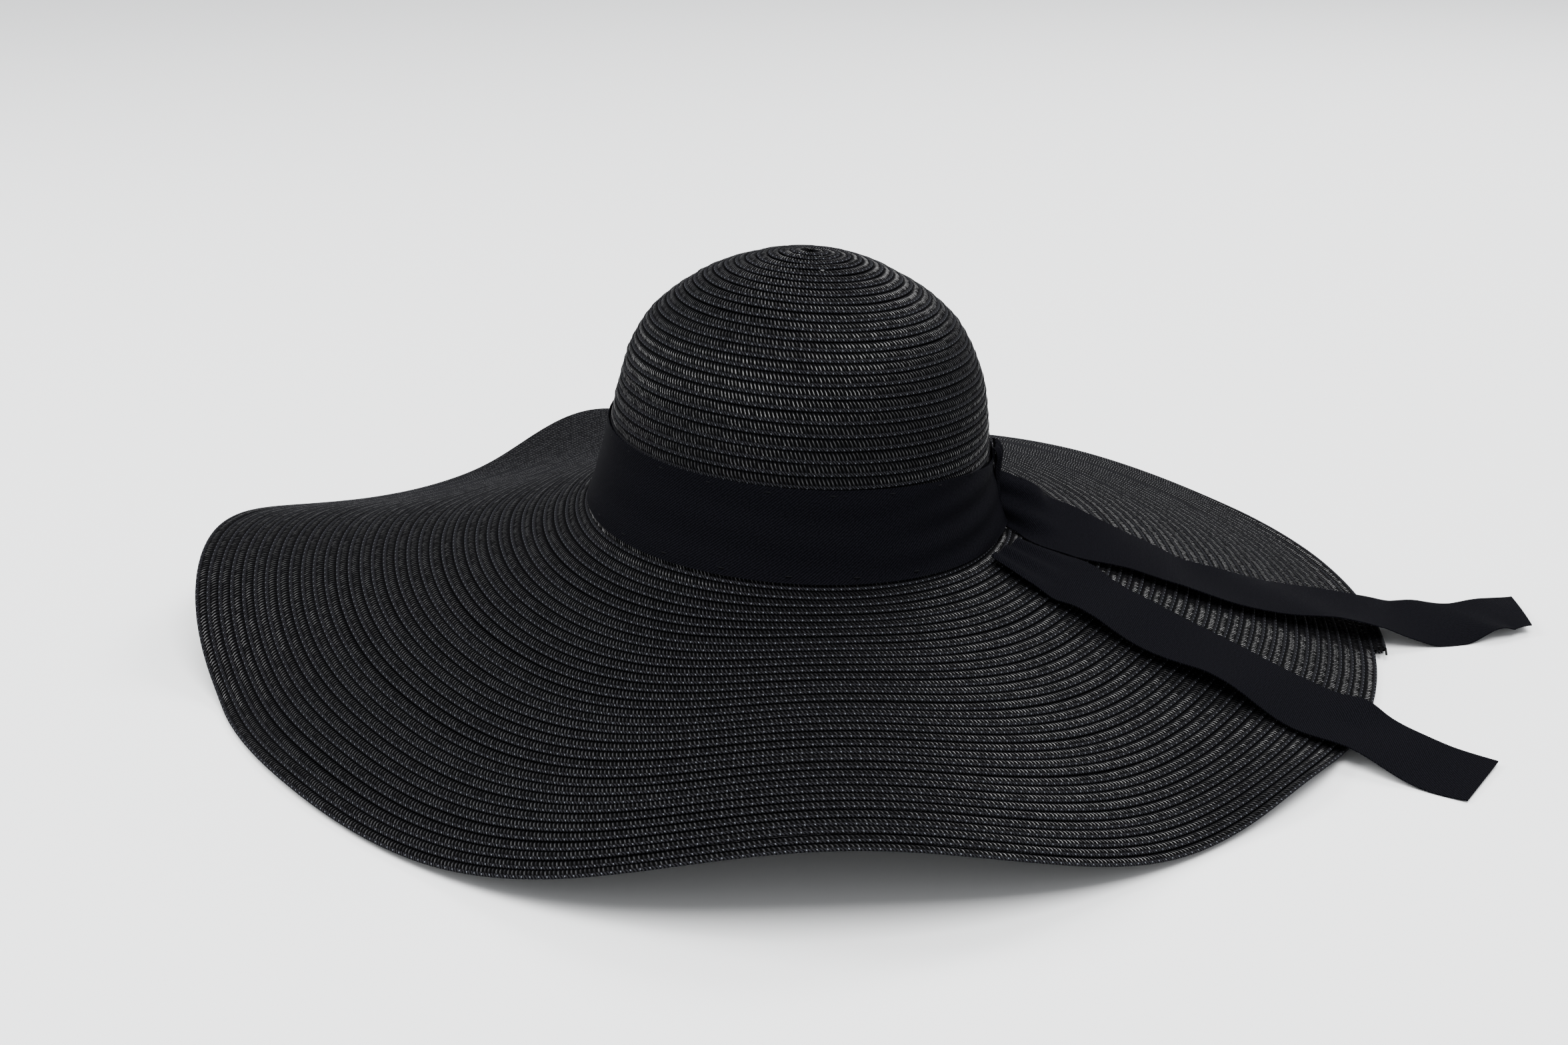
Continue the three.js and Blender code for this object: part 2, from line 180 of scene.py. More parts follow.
class HatSurface:
    """The straw's outer face as a grid of places and normals over arc and turn.

    On the crown the outline's radius is made oval and turned round the leaning axis. On the brim
    each run of braid goes straight out from the crown's foot and keeps its length: the height is
    the fall to the table plus the folds, and the reach is what the height leaves of each step.
    """

    ARC_STEP = 0.5
    TURN_STEP = 0.5

    def __init__(self):
        at = np.linspace(0, len(CROWN_OUTLINE) - 1, 2000)
        radius, drop = spline(CROWN_OUTLINE, at).T
        run = np.concatenate([[0], np.cumsum(np.hypot(np.diff(radius), np.diff(drop)))])
        self.crown_arc = run[-1]
        self.turns = np.arange(0, 360, self.TURN_STEP)
        crown_arcs = np.append(np.arange(0, self.crown_arc, self.ARC_STEP), self.crown_arc)
        crown = self._crown(crown_arcs, np.interp(crown_arcs, run, radius),
                            np.interp(crown_arcs, run, drop))
        brim_arcs, brim, self.reaches, self.heights = self._brim(crown[-1])
        arcs = np.concatenate([crown_arcs, self.crown_arc + brim_arcs[1:]])
        places = np.concatenate([crown, brim[1:]])
        self.root = crown[-1]
        self.end_arc = arcs[-1]
        even = np.arange(0, self.end_arc, self.ARC_STEP)
        index = np.interp(even, arcs, np.arange(len(arcs)))
        low = np.minimum(index.astype(int), len(arcs) - 2)
        share = (index - low)[:, None, None]
        self.points = self._rounded(places[low] * (1 - share) + places[low + 1] * share, even)
        along = np.gradient(self.points, axis=0)
        around = np.roll(self.points, -1, 1) - np.roll(self.points, 1, 1)
        around[0] = around[1]
        normal = np.cross(along, around)
        self.normals = normal / np.linalg.norm(normal, axis=-1, keepdims=True)

    def _crown(self, arcs, radius, drop):
        turn = np.radians(self.turns)[None]
        grown = np.minimum(arcs / OVAL_FROM, 1)[:, None]
        reach = radius[:, None] * (1 - OVALNESS * grown * np.cos(2 * turn))
        x, y = reach * np.cos(turn), reach * np.sin(turn)
        z = -drop[:, None] + 0 * turn
        back, right = math.radians(-LEAN_BACK), math.radians(LEAN_RIGHT)
        y, z = y * math.cos(back) - z * math.sin(back), y * math.sin(back) + z * math.cos(back)
        x, z = x * math.cos(right) + z * math.sin(right), z * math.cos(right) - x * math.sin(right)
        return np.stack([x, y, z + APEX_HEIGHT], -1)

    def _brim(self, root):
        turn = np.radians(self.turns)
        count = int(BRIM_WIDTH / self.ARC_STEP) + 1
        share = np.arange(count + SPARE_STEPS)[:, None] / (count - 1)
        mean_fall, more_right, more_back = BRIM_FALL
        fall = mean_fall + more_right * np.cos(turn) + more_back * np.sin(turn)
        height = root[:, 2] * (1 - share ** fall)
        for at, rise, spread, onset in FOLDS:
            height = height + rise * bell(self.turns, at, spread) * share ** onset
        height = soft_max(height, STRAW_THICKNESS + 0.3, 2)
        height[0] = root[:, 2]
        at, part, spread = NARROWING
        swell = BRIM_SWELL * np.sin(2 * turn)
        width = BRIM_WIDTH * (1 + swell - part * bell(self.turns, at, spread))
        step = width / (count - 1)
        drop = np.minimum(np.abs(np.diff(height, axis=0)), 0.98 * step)
        reach = np.concatenate([0 * height[:1], np.cumsum(np.sqrt(step**2 - drop**2), 0)])
        x = root[:, 0] + reach * np.cos(turn)
        y = root[:, 1] + reach * np.sin(turn)
        self.edge = count - 1
        return share[:, 0] * BRIM_WIDTH, np.stack([x, y, height], -1), reach, height

    def _rounded(self, points, arcs):
        """The fold between crown and brim, rounded by averaging over a few millimetres of arc."""
        reach = 8
        offsets = np.arange(-reach, reach + 1)
        weights = np.exp(-((offsets / 4.5) ** 2))
        padded = np.pad(points, ((reach, reach), (0, 0), (0, 0)), mode="edge")
        windows = (padded[reach + offset:][:len(points)] for offset in offsets)
        mean = sum(w * window for w, window in zip(weights, windows)) / weights.sum()
        near = np.exp(-(((arcs - self.crown_arc) / 9) ** 2))[:, None, None]
        return points * (1 - near) + mean * near

    def at(self, arc, turn, out):
        """Places out millimetres off the face, and the normals there, by blending the four grid
        points round each arc and turn."""
        row = np.clip(arc / self.ARC_STEP, 0, len(self.points) - 1.001)
        column = (turn % 360) / self.TURN_STEP
        i, j = row.astype(int), column.astype(int) % len(self.turns)
        k = (j + 1) % len(self.turns)
        s, t = (row - i)[..., None], (column - column.astype(int))[..., None]
        result = []
        for grid in (self.points, self.normals):
            near = grid[i, j] * (1 - t) + grid[i, k] * t
            far = grid[i + 1, j] * (1 - t) + grid[i + 1, k] * t
            result.append(near * (1 - s) + far * s)
        place, normal = result
        return place + np.asarray(out)[..., None] * normal, normal

    def height_over(self, x, y):
        """The brim's height over places on the table, and 0 beyond its edge. Each run of braid
        starts about one head radius out from a hub, so the turn is found in a few tries."""
        head = CROWN_OUTLINE[-1][0]
        turn = np.degrees(np.arctan2(y, x)) % 360
        for _ in range(5):
            j = np.round(turn / self.TURN_STEP).astype(int) % len(self.turns)
            angle = np.radians(self.turns[j])
            hub_x = self.root[j, 0] - head * np.cos(angle)
            hub_y = self.root[j, 1] - head * np.sin(angle)
            turn = np.degrees(np.arctan2(y - hub_y, x - hub_x)) % 360
        j = np.round(turn / self.TURN_STEP).astype(int) % len(self.turns)
        reach = np.hypot(x - self.root[j, 0], y - self.root[j, 1])
        reach = np.where(np.hypot(x, y) < np.hypot(self.root[j, 0], self.root[j, 1]), 0, reach)
        last = self.reaches[self.edge, j]
        i = (self.reaches[:, j.ravel()] < reach.ravel()).sum(0).reshape(reach.shape)
        height = self.heights[np.minimum(i, len(self.heights) - 1), j]
        return np.where(reach > last, 0, height)


HAT = HatSurface()
BAND_TOP = HAT.crown_arc - RIBBON_WIDTH - 1.5
SWEAT_FOOT = HAT.crown_arc - SWEATBAND_HEM
SWEAT_TOP = SWEAT_FOOT - SWEATBAND_HEIGHT


def frame_shift():
    """From the hat's own axes to the frame: what brings the edge row's middle, worked out at the
    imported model's facets, onto that node's box, and the table to the lowest straw."""
    turns, arcs = np.meshgrid(np.arange(0, 360, 6.0), [EDGE_ROW_FROM * ROW_PITCH,
                                                        BRIM_WIDTH - 0.15])
    edge, _ = HAT.at(HAT.crown_arc + arcs, turns, 0 * arcs)
    low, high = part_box("brim_edge_row")
    middle = (np.array(low) + np.array(high)) / 2 / MM
    own = (edge.min((0, 1)) + edge.max((0, 1))) / 2
    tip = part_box("crown_tip_coil")[1].z / MM
    return np.array([middle[0] - own[0], middle[1] - own[1], tip - APEX_HEIGHT])


SHIFT = frame_shift()

# ------------------------------------------------------------------ meshes


def to_frame(points):
    """From millimetres in the hat's own axes to metres in the frame."""
    return (np.asarray(points, float) + SHIFT) * MM


def solid(name, points, uv, ring=False, sharp=None):
    """A closed mesh through a grid of sections. Each row of points is one closed section; the rows
    follow each other along the piece, and a ring joins the last to the first. Other pieces are
    closed at both ends by one face. uv holds millimetres along and across for every point."""
    rows, corners = points.shape[:2]
    index = np.arange(rows * corners).reshape(rows, corners)
    here = index if ring else index[:-1]
    after = np.roll(index, -1, 0) if ring else index[1:]
    quads = np.stack([here, after, np.roll(after, -1, 1), np.roll(here, -1, 1)], -1).reshape(-1, 4)
    flat = to_frame(points).reshape(-1, 3)
    a, b, c, d = (flat[quads[:, k]] for k in range(4))
    volume = (np.cross(b - a, c - a) * a).sum() + (np.cross(c - a, d - a) * a).sum()
    ends = [] if ring else [index[0][::-1], index[-1]]
    if volume < 0:
        quads = quads[:, ::-1]
        ends = [end[::-1] for end in ends]
    mesh = bpy.data.meshes.new(name)
    loops = np.concatenate([quads.ravel(), *ends])
    totals = np.array([4] * len(quads) + [len(end) for end in ends])
    mesh.vertices.add(len(flat))
    mesh.vertices.foreach_set("co", flat.astype(np.float32).ravel())
    mesh.loops.add(len(loops))
    mesh.loops.foreach_set("vertex_index", loops.astype(np.int32))
    mesh.polygons.add(len(totals))
    mesh.polygons.foreach_set("loop_start", (np.cumsum(totals) - totals).astype(np.int32))
    mesh.polygons.foreach_set("use_smooth", np.ones(len(totals), bool))
    mesh.update(calc_edges=True)
    layer = mesh.uv_layers.new(name="flat")
    layer.data.foreach_set("uv", uv.reshape(-1, 2)[loops].astype(np.float32).ravel())
    if sharp:
        mesh.set_sharp_from_angle(angle=math.radians(sharp))
    mesh.validate()
    piece = bpy.data.objects.new(name, mesh)
    bpy.context.scene.collection.objects.link(piece)
    return piece


def cloth(name, surface, along, across, thickness, ring=False):
    """A sheet of one thickness either side of a grid of places. Its normals are the cross product
    of the grid's two directions, and a section runs across the upper face and back beneath."""
    if ring:
        run = np.roll(surface, -1, 0) - np.roll(surface, 1, 0)
    else:
        run = np.gradient(surface, axis=0)
    normal = np.cross(run, np.gradient(surface, axis=1))
    normal = normal / np.linalg.norm(normal, axis=-1, keepdims=True) * thickness / 2
    points = np.concatenate([surface + normal, (surface - normal)[:, ::-1]], 1)
    u = np.broadcast_to(along, surface.shape[:2])
    v = np.broadcast_to(across, surface.shape[:2])
    uv = np.stack([np.concatenate([u, u[:, ::-1]], 1), np.concatenate([v, v[:, ::-1]], 1)], -1)
    return solid(name, points, uv, ring, sharp=50)


def wrapped(name, arcs, turns, out, thickness, ring=False, droop=None):
    """Cloth that follows the crown's face, out millimetres off it. Where it droops, its upper edge
    comes down by that many millimetres and the rest follows in proportion."""
    turn, arc = np.meshgrid(turns, arcs, indexing="ij")
    if droop:
        arc = arc + droop(turn) * (arcs[-1] - arc) / (arcs[-1] - arcs[0])
    surface, _ = HAT.at(arc, turn, out(arc, turn) if callable(out) else out + 0 * arc)
    girth = np.radians(turn) * HEAD_RADIUS
    return cloth(name, surface, girth, arc, thickness, ring)


def finish_piece(piece, body, material, slot, *nodes):
    """Puts a finished piece on its body, with its material, in place of CAD nodes."""
    piece.data.materials.append(material)
    if body:
        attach(piece, body)
    if nodes:
        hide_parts(*nodes)
    return piece


def hinge_of(body):
    """The joint that carries a body."""
    return next(joint for joint in frame["joints"] if joint["child"] == body)


# ------------------------------------------------------------------ materials


def linear(hex_colour):
    """An sRGB hex colour as linear red, green, blue and alpha."""
    value = [int(hex_colour[k:k + 2], 16) / 255 for k in (1, 3, 5)]
    return [v / 12.92 if v <= 0.04045 else ((v + 0.055) / 1.055) ** 2.4 for v in value] + [1]


def set_inputs(node, *values, **named):
    """Sets a shader node's live inputs in order, and others by name. A value is a number, an sRGB
    hex colour, an output, or another node, which gives its first live output."""
    live = [socket for socket in node.inputs if socket.enabled]
    chosen = [*zip(live, values)]
    chosen += [(node.inputs[name.replace("_", " ")], value) for name, value in named.items()]
    for socket, value in chosen:
        if isinstance(value, bpy.types.Node):
            value = next(output for output in value.outputs if output.enabled)
        if isinstance(value, bpy.types.NodeSocket):
            node.id_data.links.new(value, socket)
        else:
            socket.default_value = linear(value) if isinstance(value, str) else value


def add_node(material, kind, *values, **named):
    """Adds one shader node. Names in small letters are its settings, and the rest is its inputs."""
    node = material.node_tree.nodes.new("ShaderNode" + kind)
    for name, value in named.items():
        if name.islower():
            setattr(node, name, value)
    set_inputs(node, *values, **{key: named[key] for key in named if not key.islower()})
    return node


def start_material(name, **inputs):
    """A material with its shader's plain values set on its own sockets."""
    material = bpy.data.materials.new(name)
    material.use_nodes = True
    shader = material.node_tree.nodes["Principled BSDF"]
    set_inputs(shader, **inputs)
    return material, shader


def flat_map(node):
    """Millimetres along and across the piece, from its own UV map."""
    return node("SeparateXYZ", node("UVMap", uv_map="flat")).outputs[:2]


def straw_material(settings):
    """Dyed paper-straw braid: flat strands woven on a slant, with painted shade in the grooves and
    glossy along the crest of some, beside a matte twisted cord with painted shade between its turns,
    and stitches of thread drawn as painted glints."""
    material, shader = start_material(
        "dyed_paper_straw_braid", Roughness=0.66, Specular_IOR_Level=0.008, Coat_IOR=1.6,
        Coat_Roughness=settings.strand_roughness)
    node = partial(add_node, material)
    along, across = flat_map(node)
    on_cord = node("MapRange", across, 3.35, 3.65, interpolation_type="SMOOTHSTEP")
    off_cord = node("Math", 1.0, on_cord, operation="SUBTRACT")

    # Each strand is one turn of a cosine along the braid, with a number of its own.
    phase = node("Math", along, STRAND, operation="DIVIDE")
    wave = node("Math", node("Math", phase, 2 * math.pi, operation="MULTIPLY"), operation="COSINE")
    chance = node("TexWhiteNoise", node("Math", phase, operation="FLOOR"), noise_dimensions="1D")
    fine_along = node("Math", along, 3.2, operation="MULTIPLY")
    coarse_across = node("Math", across, 0.5, operation="MULTIPLY")
    fibre = node("TexNoise", node("CombineXYZ", fine_along, coarse_across), 1.0, 3.0)
    # Painted shade: in the grooves between strands the colour goes toward the shade colour, and the
    # random dye and fibres make some strands darker.
    groove_shade = node("MapRange", wave, -0.6, 0.7, interpolation_type="SMOOTHSTEP")
    lit = node("Math", 1.0, groove_shade, operation="SUBTRACT")
    dye = node("Math", node("Math", chance, 0.35, operation="MULTIPLY"),
               node("Math", fibre, 0.2, operation="ADD"), operation="ADD")
    shade = node("Math", lit, dye, operation="MULTIPLY")
    strands = node("Mix", shade, settings.shade_and_dark_tone_colour, settings.strand_colour,
                   data_type="RGBA")

    # The cord's twist is a sine on a slant, with painted shade between its turns, and its stitches
    # are short marks at one pitch, drawn as painted glints of light.
    slanted = node("Math", node("Math", along, 2 * math.pi / CORD_TWIST, operation="MULTIPLY"),
                   node("Math", across, 2.5, operation="MULTIPLY"), operation="ADD")
    twist = node("Math", slanted, operation="SINE")
    raised = node("MapRange", twist, -1.2, 1.0, interpolation_type="SMOOTHSTEP")
    # Painted shade: between the cord's turns its colour goes toward the shade colour.
    cord = node("Mix", raised, settings.shade_and_dark_tone_colour, settings.cord_colour, data_type="RGBA")
    braid = node("Mix", on_cord, strands, cord, data_type="RGBA")
    pitch = node("Math", along, 2 * math.pi / THREAD_PITCH, operation="MULTIPLY")
    mark = node("MapRange", node("Math", pitch, operation="COSINE"), 0.88, 1.0,
                interpolation_type="SMOOTHSTEP")
    beside = node("Math", node("Math", across, 4.5, operation="SUBTRACT"), operation="ABSOLUTE")
    away = node("MapRange", beside, 0.1, 0.35, interpolation_type="SMOOTHSTEP")
    stitch_glint = node("Math", mark, node("Math", 1.0, away, operation="SUBTRACT"),
                  operation="MULTIPLY")
    # Painted highlight: the stitch marks are light dots that stand for the glints of the thread.
    colour = node("Mix", stitch_glint, braid, settings.stitch_glint_colour, data_type="RGBA")

    # Glints: the middle of a strand's crest, stronger on some strands and never on the cord.
    some = node("MapRange", chance, -0.5, 0.9, interpolation_type="SMOOTHSTEP")
    glossy = node("Math", some, off_cord, operation="MULTIPLY")
    slope = node("MapRange", wave, -1.0, -0.35, interpolation_type="SMOOTHSTEP")
    crest = node("Math", 1.0, slope, operation="SUBTRACT")
    centre = node("Math", 1.5, node("Math", chance, 0.9, operation="MULTIPLY"), operation="ADD")
    off_centre = node("Math", node("Math", across, centre, operation="SUBTRACT"),
                      operation="ABSOLUTE")
    end = node("MapRange", off_centre, 0.3, 1.4, interpolation_type="SMOOTHSTEP")
    middle = node("Math", 1.0, end, operation="SUBTRACT")
    glint = node("Math", node("Math", crest, middle, operation="MULTIPLY"), glossy,
                 operation="MULTIPLY")

    # Relief in millimetres: strands, the cord's twist, and fibres.
    ridge = node("Math", wave, node("Math", off_cord, -STRAND_RELIEF, operation="MULTIPLY"),
                 operation="MULTIPLY")
    turns = node("Math", node("Math", twist, on_cord, operation="MULTIPLY"), 0.05,
                 operation="MULTIPLY")
    relief = node("Math", node("Math", fibre, 0.05, operation="MULTIPLY"),
                  node("Math", ridge, turns, operation="ADD"), operation="ADD")
    bump = node("Bump", Height=relief, Strength=1.0, Distance=MM)
    set_inputs(shader, Base_Color=colour, Coat_Weight=glint, Normal=bump, Coat_Normal=bump)
    return material


def ribbon_material(settings):
    """Polyester twill ribbon: a fine diagonal grain with fainter ribs across it, matte and of a cold
    cast, with painted shade between the threads where the grain sinks, a random fuzz of tone, and
    almost no shine. The real twill is too fine to show at arm's length, so its grain is drawn 1.3 mm
    apart."""
    material, shader = start_material("black_twill_ribbon", Roughness=0.8,
                                      Specular_IOR_Level=0.008)
    node = partial(add_node, material)
    along, across = flat_map(node)
    ribs = node("Math", node("Math", along, 2 * math.pi / 0.9, operation="MULTIPLY"),
                operation="SINE")
    diagonal = node("Math", node("Math", along, across, operation="ADD"), 2 * math.pi / 1.3,
                    operation="MULTIPLY")
    grain = node("Math", diagonal, operation="SINE")
    fuzz = node("TexNoise", node("CombineXYZ", along, across), 1.3, 3.0)
    grain_shade_and_fuzz = node("Math", node("Math", grain, 0.22, operation="MULTIPLY"), fuzz, operation="ADD")
    raised = node("MapRange", grain_shade_and_fuzz, 0.25, 0.85, interpolation_type="SMOOTHSTEP")
    # Painted shade: the shadow colour lies between the threads, where the grain sinks, together with
    # a random fuzz of tone.
    colour = node("Mix", raised, settings.ribbon_shadow, settings.ribbon_colour,
                  data_type="RGBA")
    rough_grain = node("Math", node("Math", grain, 0.4, operation="MULTIPLY"), fuzz,
                       operation="ADD")
    weave = node("Math", node("Math", ribs, 0.35, operation="MULTIPLY"), rough_grain,
                 operation="ADD")
    bump = node("Bump", Height=weave, Strength=0.4, Distance=WEAVE_DEPTH)
    set_inputs(shader, Base_Color=colour, Normal=bump)
    return material


def woven_material(name, colour, rib, roughness):
    """Plain woven tape or thread: ribs at one spacing in millimetres, and nothing shiny."""
    material, shader = start_material(name, Base_Color=colour, Roughness=roughness,
                                      Specular_IOR_Level=0.08)
    node = partial(add_node, material)
    along, across = flat_map(node)
    ribs, threads = (
        node("Math", node("Math", axis, 2 * math.pi / rib, operation="MULTIPLY"),
             operation="SINE") for axis in (along, across))
    weave = node("Math", ribs, node("Math", threads, 0.4, operation="MULTIPLY"),
                 operation="ADD")
    bump = node("Bump", Height=weave, Strength=0.4, Distance=WEAVE_DEPTH)
    set_inputs(shader, Normal=bump)
    return material


MATERIALS = {}


def material_for(name, make, *details):
    """The material of that name, made once."""
    if name not in MATERIALS:
        MATERIALS[name] = make(*details)
    return MATERIALS[name]


# ------------------------------------------------------------------ the straw braid

LAST_ROW = (HAT.crown_arc + BRIM_WIDTH) / ROW_PITCH + 0.5
FOOT_ROW = HAT.crown_arc / ROW_PITCH
BAND_ROW = BAND_TOP / ROW_PITCH

# The braid's section: place across the row, height, and how far the strands stand out there. The
# row shows from 0 to 5; below 0 it runs in beneath the row before it.
BRAID_TOP = [
    (-1.6, -1.35, 0), (0.0, -0.8, 0.05), (0.9, -0.3, 0.13), (2.1, -0.08, 0.17), (3.1, -0.32, 0.1),
    (3.6, 0.02, 0), (4.3, 0.24, 0), (4.95, -0.1, 0),
]
BRAID_UNDER = [(4.9, -0.6, 0), (2.4, -1.0, -0.15), (-1.5, -1.8, 0)]


def braid_piece(name, first_row, last_row, step, lift=None):
    """A run of the spiral from one row count to another. A place on it has its arc from its row
    and its place across, its turn from the row, and alternate sections stand out and in so that
    every two make one strand; sections lean so that the strands slant."""
    section = np.array(BRAID_TOP + BRAID_UNDER)
    rows = np.linspace(first_row, last_row, 4000)
    radius = np.linalg.norm(HAT.at(rows * ROW_PITCH, 90 + 0 * rows, 0 * rows)[0][:, :2], axis=1)
    length = np.concatenate([[0], np.cumsum(np.diff(rows) * 2 * np.pi * radius[1:])])
    count = max(8, int(length[-1] / step))
    run = np.linspace(0, length[-1], count)
    row = np.interp(run, length, rows)[:, None]
    girth = np.interp(run, length, radius)[:, None]
    shrink = np.minimum(1, row * ROW_PITCH / COIL_SPAN)
    across = section[None, :, 0] * shrink
    slant = np.degrees(STRAND_SLANT * across / np.maximum(girth, 8))
    turn = END_TURN + (LAST_ROW - row) * 360 + slant
    uneven = 0.35 * wander(np.radians(turn), row * 0.9, 3) + 0.12 * wander(
        np.radians(turn) * 9, row * 2.1, 5)
    arc = row * ROW_PITCH - ROW_PITCH + across + 0.22 * wander(np.radians(turn) * 3, row * 1.7, 8)
    strand = np.where(np.arange(count) % 2, 1.0, -1.0)[:, None] * section[None, :, 2]
    out = (section[None, :, 1] + strand) * shrink + uneven
    if lift is not None:
        out = out + lift(run[:, None] / length[-1])
    points, _ = HAT.at(np.maximum(arc, 0.05), turn, out)
    along = np.arange(count)[:, None] * STRAND / 2
    uv = np.stack([along + 0 * across, across + 0 * along], -1)
    return solid(name, points, uv)


# Each zone of braid: the CAD node, its first and last row, and the parts it is made in.
STRAW_RUNS = [
    ("crown_tip_coil", 0.45, 2, 1), ("crown_top_braid", 2, 12, 1),
    ("crown_shoulder_braid", 12, 19, 1), ("crown_side_braid", 19, BAND_ROW, 1),
    ("crown_band_seat_braid", BAND_ROW, FOOT_ROW, 1),
    ("brim_inner_braid", FOOT_ROW, FOOT_ROW + 11, 2),
    ("brim_middle_braid", FOOT_ROW + 11, FOOT_ROW + 23, 2),
    ("brim_outer_braid", FOOT_ROW + 23, FOOT_ROW + EDGE_ROW_FROM, 3),
    ("brim_edge_row", FOOT_ROW + EDGE_ROW_FROM, LAST_ROW, 1),
]


def straw_pieces(zone, settings):
    """Makes the pieces of every run whose name starts with the zone's, in place of CAD nodes."""
    material = material_for("straw", straw_material, settings)
    for name, first, last, parts in STRAW_RUNS:
        if not name.startswith(zone):
            continue
        edges = np.linspace(first, last, parts + 1)
        for k in range(parts):
            label = f"{name}_{k + 1}" if parts > 1 else f"{name}_fine"
            piece = braid_piece(label, edges[k], edges[k + 1], settings.strand_length / MM)
            finish_piece(piece, "hat", material, "straw_braid", name)


# ------------------------------------------------------------------ settings


class HatStrawSettings(bpy.types.PropertyGroup):
    strand_colour: bpy.props.StringProperty(
        name="Strand", description="Colour of a strand's lit face", default="#101012")
    # Painted shade in the grooves between strands and between the cord's turns; it also gives the
    # darkest random tone of the strands.
    shade_and_dark_tone_colour: bpy.props.StringProperty(
        name="Crevice", description="Colour of the darkest strands", default="#030303")
    cord_colour: bpy.props.StringProperty(
        name="Cord", description="Colour of the matte cord at each row's edge", default="#1f1f22")
    # A painted highlight: light dots that stand for the glints of the stitches.
    stitch_glint_colour: bpy.props.StringProperty(
        name="Stitch", description="Colour of the thread's glinting stitches", default="#5a5d63")
    strand_roughness: bpy.props.FloatProperty(
        name="Strand roughness", description="Roughness of the glossiest strands", default=0.28,
        min=0, max=1)
    strand_length: bpy.props.FloatProperty(
        name="Mesh step", description="Length of braid between two sections", default=0.00085,
        subtype="DISTANCE", unit="LENGTH")


class HatRibbonSettings(bpy.types.PropertyGroup):
    ribbon_colour: bpy.props.StringProperty(
        name="Ribbon", description="Colour of the ribbon's threads", default="#0f0f13")
    ribbon_shadow: bpy.props.StringProperty(
        name="Ribbon shadow", description="Colour between the threads", default="#050507")
    thickness: bpy.props.FloatProperty(
        name="Thickness", description="Thickness of the ribbon", default=0.0005,
        subtype="DISTANCE", unit="LENGTH")


class HatLiningSettings(bpy.types.PropertyGroup):
    sweatband_colour: bpy.props.StringProperty(
        name="Sweatband", description="Colour of the sweatband", default="#17171a")
    thread_colour: bpy.props.StringProperty(
        name="Thread", description="Colour of the sewing thread", default="#0a0a0d")
    label_colour: bpy.props.StringProperty(
        name="Label", description="Colour of the blank labels", default="#e4e2dc")


class HatStageSettings(bpy.types.PropertyGroup):
    floor_colour: bpy.props.StringProperty(
        name="Floor", description="Colour of the floor", default="#f3f4f4")
    camera_distance: bpy.props.FloatProperty(
        name="Camera distance", description="From the hat's middle to the camera, level",
        default=0.916, subtype="DISTANCE", unit="LENGTH")
    camera_height: bpy.props.FloatProperty(
        name="Camera height", description="Height of the camera over the table", default=0.381,
        subtype="DISTANCE", unit="LENGTH")
    camera_tilt: bpy.props.FloatProperty(
        name="Camera tilt", description="How far the camera looks down",
        default=math.radians(20.02), subtype="ANGLE", unit="ROTATION")
    camera_pan: bpy.props.FloatProperty(
        name="Camera pan", description="How far the camera is turned to its left",
        default=math.radians(0.77), subtype="ANGLE", unit="ROTATION")


# ------------------------------------------------------------------ operators


class HAT_OT_stage(bpy.types.Operator):
    """Makes the camera, the pale floor and the soft lights"""
    bl_idname = "hat.stage"
    bl_label = "Stage"

    def execute(self, context):
        settings = context.scene.hat_stage
        camera = bpy.data.objects.new("camera", bpy.data.cameras.new("camera"))
        camera.data.lens = 50
        camera.data.sensor_width = 36
        camera.location = (SHIFT[0] * MM, SHIFT[1] * MM - settings.camera_distance,
                           SHIFT[2] * MM + settings.camera_height)
        camera.rotation_euler = (math.pi / 2 - settings.camera_tilt, 0, settings.camera_pan)
        context.scene.collection.objects.link(camera)
        context.scene.camera = camera
        floor_material, _ = start_material("matte_paper_backdrop", Roughness=0.9,
                                           Base_Color=settings.floor_colour)
        mesh = bpy.data.meshes.new("floor")
        half = 4.0
        mesh.from_pydata([(-half, -half, 0), (half, -half, 0), (half, half, 0), (-half, half, 0)],
                         [], [(0, 1, 2, 3)])
        floor = bpy.data.objects.new("floor", mesh)
        floor.data.materials.append(floor_material)
        context.scene.collection.objects.link(floor)
        lamps = [
            ("rear_softbox", (1.1, 1.5, 1.7), 1.0, 46), ("left_softbox", (-1.9, 0.3, 1.5), 0.9, 44),
            ("overhead_softbox", (0.2, -0.9, 2.2), 1.6, 104),
        ]
        for name, place, size, power in lamps:
            lamp = bpy.data.objects.new(name, bpy.data.lights.new(name, "AREA"))
            lamp.data.size = size
            lamp.data.energy = power
            lamp.location = place
            aim = np.array(place) - np.array([0, 0, 0.06])
            lamp.rotation_euler = (math.atan2(math.hypot(*aim[:2]), aim[2]), 0,
                                   math.atan2(aim[1], aim[0]) + math.pi / 2)
            context.scene.collection.objects.link(lamp)
        world = bpy.data.worlds.new("studio")
        world.use_nodes = True
        world.node_tree.nodes["Background"].inputs[0].default_value = (0.97, 0.98, 1.0, 1)
        world.node_tree.nodes["Background"].inputs[1].default_value = 1.1
        context.scene.world = world
        return {"FINISHED"}


class HAT_OT_crown(bpy.types.Operator):
    """Makes the crown's rows of braid, from the tip coil to the ribbon's seat"""
    bl_idname = "hat.crown"
    bl_label = "Crown braid"

    def execute(self, context):
        straw_pieces("crown", context.scene.hat_straw)
        return {"FINISHED"}


class HAT_OT_brim(bpy.types.Operator):
    """Makes the brim's rows of braid, out to the edge row"""
    bl_idname = "hat.brim"
    bl_label = "Brim braid"

    def execute(self, context):
        straw_pieces("brim", context.scene.hat_straw)
        return {"FINISHED"}


